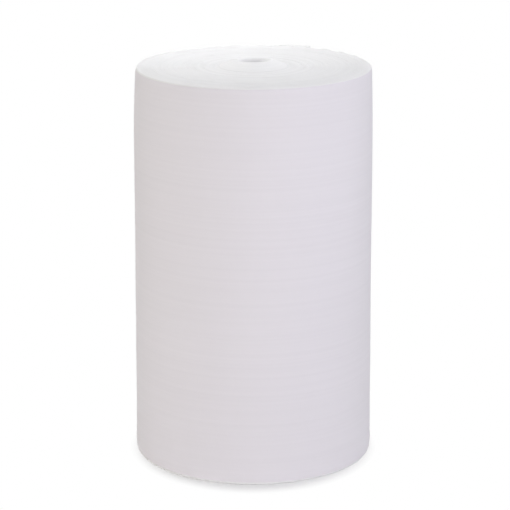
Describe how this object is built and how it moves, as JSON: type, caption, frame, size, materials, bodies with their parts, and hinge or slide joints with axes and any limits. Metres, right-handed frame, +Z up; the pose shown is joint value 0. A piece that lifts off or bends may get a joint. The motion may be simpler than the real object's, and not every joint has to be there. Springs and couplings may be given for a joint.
{
  "type": "foam wrap roll",
  "caption": "Standing roll of white polyethylene foam wrapping sheet, wound in a spiral round an open central bore, with a soft rim and inner turns that stand a little proud.",
  "frame": {"origin": "centre of the base ring that the roll stands on", "axes": "+Z up along the roll's axis, -Y towards the viewer of the picture, +X to the viewer's right"},
  "size_m": [0.6001, 0.6023, 1.016],
  "materials": {
    "foam": "white closed-cell polyethylene foam, soft and matt, with fine lines along the sheet"
  },
  "bodies": {
    "root": {"foam_roll": "foam"}
  },
  "joints": []
}
